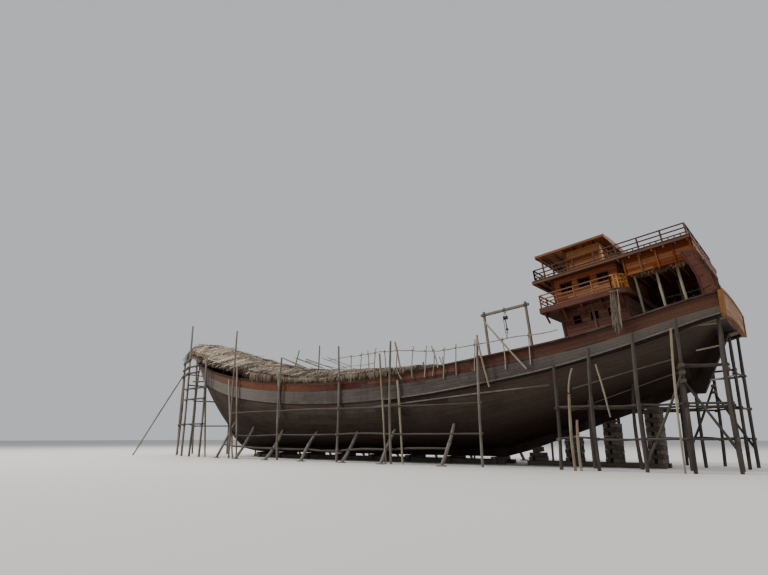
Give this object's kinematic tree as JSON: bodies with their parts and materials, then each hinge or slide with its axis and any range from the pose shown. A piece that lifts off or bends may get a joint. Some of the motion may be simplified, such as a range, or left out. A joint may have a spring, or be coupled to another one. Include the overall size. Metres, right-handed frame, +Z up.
{
  "type": "1:2 scale model of a phinisi schooner under construction on her slip",
  "caption": "Wooden two-masted trading schooner hull in build, with stepped stern deckhouse, palm-leaf awning, slip, shores and pole staging; masts not yet fitted.",
  "frame": {"origin": "underside of the midship keel block, on the ground, on the ship's centreline", "axes": "+X towards the bow, +Y to port, +Z up"},
  "size_m": [25.8204, 6.1332, 6.7682],
  "materials": {
    "dark_hull_planks": "weathered dark grey-brown planks, rough",
    "dark_timber": "weathered dark hardwood timber, rough",
    "deck_planks": "sawn planks, unfinished",
    "grey_wale": "silver-grey weathered planks, rough",
    "red_brown_planks": "red-brown hardwood planks, matt",
    "rail_timber": "weathered brown timber, matt",
    "yellow_planks": "fresh yellow-brown planks, matt",
    "cabin_planks": "dark red-brown planks, matt",
    "orange_planks": "orange-brown planks, satin",
    "door_wood": "brown planked door wood, satin",
    "pale_wood": "fresh pale yellow wood, matt",
    "dark_rail_wood": "dark purple-brown wood, satin",
    "wheelhouse_planks": "brown boards, satin",
    "roof_wood": "light brown boards, matt",
    "black_iron": "black oiled iron, worn",
    "palm_thatch": "dry grey-beige palm leaf",
    "pole_wood": "bleached grey poles, rough",
    "dark_pole_wood": "dark weathered poles, rough",
    "block_timber": "rough sawn blocks"
  },
  "bodies": {
    "ship": {"hull_planking": "dark_hull_planks", "keel": "dark_timber", "stem": "dark_timber", "sternpost": "dark_timber", "main_deck_aft": "deck_planks", "main_deck_waist": "deck_planks", "main_deck_fore": "deck_planks", "wale_port": "grey_wale", "wale_starboard": "grey_wale", "bulwark_port": "red_brown_planks", "bulwark_starboard": "red_brown_planks", "cap_rail_port": "rail_timber", "cap_rail_starboard": "rail_timber", "transom": "yellow_planks", "cabin_side_port": "cabin_planks", "cabin_side_starboard": "cabin_planks", "cabin_front": "cabin_planks", "cabin_aft": "cabin_planks", "gallery_floor": "orange_planks", "gallery_rail": "pale_wood", "saloon_side_port": "orange_planks", "saloon_side_starboard": "orange_planks", "saloon_front": "orange_planks", "saloon_aft": "orange_planks", "aft_screen_port": "orange_planks", "aft_screen_starboard": "orange_planks", "aft_posts_port": "pole_wood", "aft_posts_starboard": "pole_wood", "upper_deck": "orange_planks", "upper_rail": "dark_rail_wood", "wheelhouse_side_port": "wheelhouse_planks", "wheelhouse_side_starboard": "wheelhouse_planks", "wheelhouse_front": "wheelhouse_planks", "wheelhouse_aft": "wheelhouse_planks", "wheelhouse_roof": "roof_wood", "quarter_board_port": "red_brown_planks", "quarter_board_starboard": "red_brown_planks", "hatch_coaming": "deck_planks", "gantry": "dark_timber", "awning_fore": "palm_thatch", "awning_mid": "palm_thatch", "awning_frame_port": "pole_wood", "awning_frame_starboard": "pole_wood", "stick_rail_port": "pole_wood", "stick_rail_starboard": "pole_wood", "slipway": "block_timber", "shores_port": "pole_wood", "shores_starboard": "pole_wood", "standards_port": "pole_wood", "standards_starboard": "pole_wood", "stern_staging_port": "dark_pole_wood", "stern_staging_starboard": "dark_pole_wood", "bow_staging_port": "dark_pole_wood", "bow_staging_starboard": "dark_pole_wood"},
    "cabin_door": {"cabin_door": "door_wood"},
    "saloon_door": {"saloon_door": "door_wood"},
    "wheelhouse_door": {"wheelhouse_door": "door_wood"},
    "hatch_lid_port": {"hatch_lid_port": "door_wood"},
    "hatch_lid_starboard": {"hatch_lid_starboard": "door_wood"},
    "chain_hoist": {"chain_hoist": "black_iron"}
  },
  "joints": [
    {"name": "cabin_door_swing", "type": "hinge", "parent": "ship", "child": "cabin_door", "pos_m": [-8.4526, -0.225, 3.79206], "axis": [-0.1288, 0, -0.9917], "range_deg": [0, 105]},
    {"name": "saloon_door_swing", "type": "hinge", "parent": "ship", "child": "saloon_door", "pos_m": [-10.15247, 0.2, 5.22292], "axis": [-0.1288, 0, -0.9917], "range_deg": [0, 105]},
    {"name": "wheelhouse_door_swing", "type": "hinge", "parent": "ship", "child": "wheelhouse_door", "pos_m": [-8.47815, -0.2, 5.96344], "axis": [-0.1288, 0, -0.9917], "range_deg": [0, 105]},
    {"name": "hatch_lid_port_lift", "type": "hinge", "parent": "ship", "child": "hatch_lid_port", "pos_m": [-5.89865, 0.68, 3.01871], "axis": [-0.9952, 0, 0.0976], "range_deg": [0, 100]},
    {"name": "hatch_lid_starboard_lift", "type": "hinge", "parent": "ship", "child": "hatch_lid_starboard", "pos_m": [-5.89865, -0.68, 3.01871], "axis": [0.9952, 0, -0.0976], "range_deg": [0, 100]},
    {"name": "hoist_travel", "type": "slide", "parent": "ship", "child": "chain_hoist", "axis": [0.9952, 0, -0.0976], "range_m": [-0.6, 0.6]}
  ]
}
